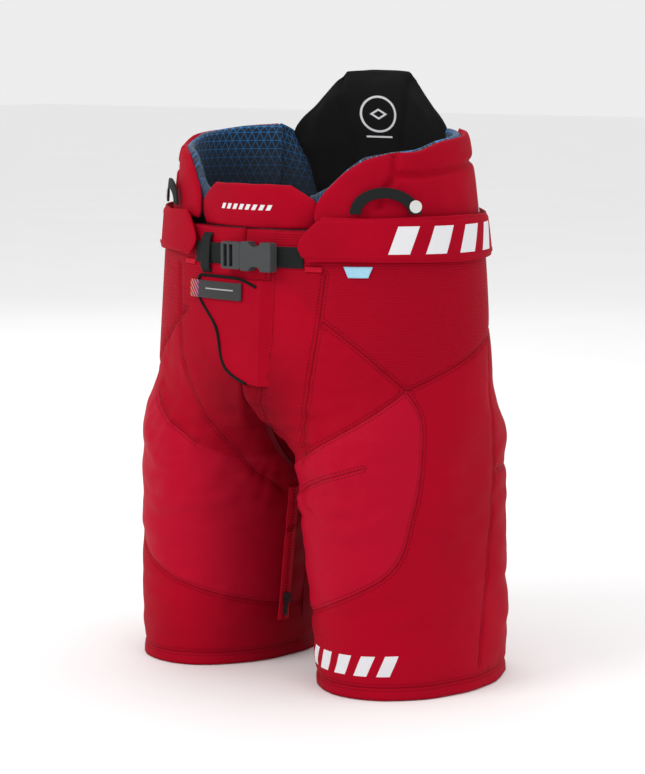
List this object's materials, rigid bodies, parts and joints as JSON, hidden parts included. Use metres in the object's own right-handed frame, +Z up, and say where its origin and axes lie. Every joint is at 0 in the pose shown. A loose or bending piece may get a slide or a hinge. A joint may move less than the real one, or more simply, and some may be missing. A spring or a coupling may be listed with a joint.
{
  "type": "hockey pants",
  "caption": "Padded ice-hockey pants with swinging legs, folding belly pad, tilting back pad, hinged fly flap, side-release belt buckle and inner-thigh zips.",
  "frame": {"origin": "on the ground plane between the hems, at the middle of the whole object's box", "axes": "+Z up from hems to waist, -Y towards the wearer's front, +X towards the wearer's left"},
  "size_m": [0.3912, 0.2684, 0.595],
  "materials": {
    "red_fabric": "matte",
    "black_fabric": "matte",
    "net_liner": "matte",
    "webbing": "matte",
    "foam": "matte",
    "guard_plastic": "satin",
    "grey_plastic": "satin",
    "white_plastic": "satin",
    "zip_metal": "satin",
    "zip_tape": "matte",
    "pale_tag": "matte"
  },
  "bodies": {
    "waist": {"hip_panel_left": "red_fabric", "hip_panel_right": "red_fabric", "front_panel_left": "red_fabric", "front_panel_right": "red_fabric", "seat_panel": "red_fabric", "hip_plate_left": "guard_plastic", "hip_plate_right": "guard_plastic", "hip_foam_left": "foam", "hip_foam_right": "foam", "tailbone_plate": "guard_plastic", "tailbone_foam": "foam", "tailbone_pad": "red_fabric", "waist_liner_left": "net_liner", "waist_liner_right": "net_liner", "waist_liner_rear": "net_liner", "hip_band_left": "red_fabric", "hip_band_right": "red_fabric", "hip_wing_left": "red_fabric", "hip_wing_right": "red_fabric", "hip_loop_left": "webbing", "hip_loop_right": "webbing", "suspender_buttons": "white_plastic", "length_zips": "zip_tape", "hip_tag": "pale_tag", "belt_left": "webbing", "belt_right": "webbing", "belt_loop": "webbing", "buckle_plug": "grey_plastic", "crotch_gusset": "black_fabric", "stretch_zone_left": "red_fabric", "stretch_zone_right": "red_fabric"},
    "buckle_socket": {"buckle_socket": "grey_plastic"},
    "prong_upper": {"prong_upper": "grey_plastic"},
    "prong_lower": {"prong_lower": "grey_plastic"},
    "fly_flap": {"fly_flap": "red_fabric", "fly_label": "black_fabric"},
    "belly_pad": {"belly_pad": "red_fabric"},
    "back_pad": {"back_pad": "black_fabric", "back_board": "guard_plastic"},
    "leg_left": {"thigh_front_left": "red_fabric", "thigh_side_left": "red_fabric", "thigh_back_left": "red_fabric", "thigh_inner_left": "red_fabric", "thigh_guard_left": "guard_plastic", "thigh_foam_left": "foam", "leg_liner_left": "net_liner", "zip_tape_left": "zip_tape"},
    "zip_slider_left": {"zip_slider_left": "zip_metal"},
    "zip_pull_left": {"zip_pull_left": "zip_metal"},
    "leg_right": {"thigh_front_right": "red_fabric", "thigh_side_right": "red_fabric", "thigh_back_right": "red_fabric", "thigh_inner_right": "red_fabric", "thigh_guard_right": "guard_plastic", "thigh_foam_right": "foam", "leg_liner_right": "net_liner", "zip_tape_right": "zip_tape"},
    "zip_slider_right": {"zip_slider_right": "zip_metal"},
    "zip_pull_right": {"zip_pull_right": "zip_metal"}
  },
  "joints": [
    {"name": "leg_left_swing", "type": "hinge", "parent": "waist", "child": "leg_left", "pos_m": [0.098, 0, 0.33], "axis": [-1, 0, 0], "range_deg": [-12, 24], "deforming": ["stretch_zone_left"]},
    {"name": "leg_right_swing", "type": "hinge", "parent": "waist", "child": "leg_right", "pos_m": [-0.098, 0, 0.33], "axis": [-1, 0, 0], "range_deg": [-12, 24], "deforming": ["stretch_zone_right"]},
    {"name": "fly_flap_open", "type": "hinge", "parent": "waist", "child": "fly_flap", "pos_m": [0.035, -0.1276, 0.292], "axis": [0, 0.0456, 0.999], "range_deg": [0, 110]},
    {"name": "belly_pad_fold", "type": "hinge", "parent": "waist", "child": "belly_pad", "pos_m": [0, -0.12117, 0.4415], "axis": [1, 0, 0], "range_deg": [0, 85]},
    {"name": "back_pad_tilt", "type": "hinge", "parent": "waist", "child": "back_pad", "pos_m": [0, 0.1138, 0.445], "axis": [-1, 0, 0], "range_deg": [0, 30]},
    {"name": "buckle_release", "type": "slide", "parent": "waist", "child": "buckle_socket", "axis": [1, 0, 0], "range_m": [0, 0.028], "deforming": ["belt_left"]},
    {"name": "prong_upper_squeeze", "type": "hinge", "parent": "waist", "child": "prong_upper", "pos_m": [0.004, -0.12918, 0.4269], "axis": [0, 1, 0], "range_deg": [0, 4], "stiffness_Nm_per_rad": 0.5},
    {"name": "prong_lower_squeeze", "type": "hinge", "parent": "waist", "child": "prong_lower", "pos_m": [0.004, -0.12918, 0.4091], "axis": [0, 1, 0], "range_deg": [-4, 0], "stiffness_Nm_per_rad": 0.5},
    {"name": "zip_slider_left_run", "type": "slide", "parent": "leg_left", "child": "zip_slider_left", "axis": [-0.1089, 0, 0.9941], "range_m": [0, 0.08]},
    {"name": "zip_pull_left_flip", "type": "hinge", "parent": "zip_slider_left", "child": "zip_pull_left", "pos_m": [0.02434, -0.02865, 0.05751], "axis": [-0.1783, 0.9838, -0.0195], "range_deg": [0, 75]},
    {"name": "zip_slider_right_run", "type": "slide", "parent": "leg_right", "child": "zip_slider_right", "axis": [0.1089, 0, 0.9941], "range_m": [0, 0.08]},
    {"name": "zip_pull_right_flip", "type": "hinge", "parent": "zip_slider_right", "child": "zip_pull_right", "pos_m": [-0.02434, -0.02865, 0.05751], "axis": [-0.1783, -0.9838, 0.0195], "range_deg": [0, 75]}
  ],
  "couplings": [
    {"joint": "prong_lower_squeeze", "follows": "prong_upper_squeeze", "ratio": -1}
  ]
}
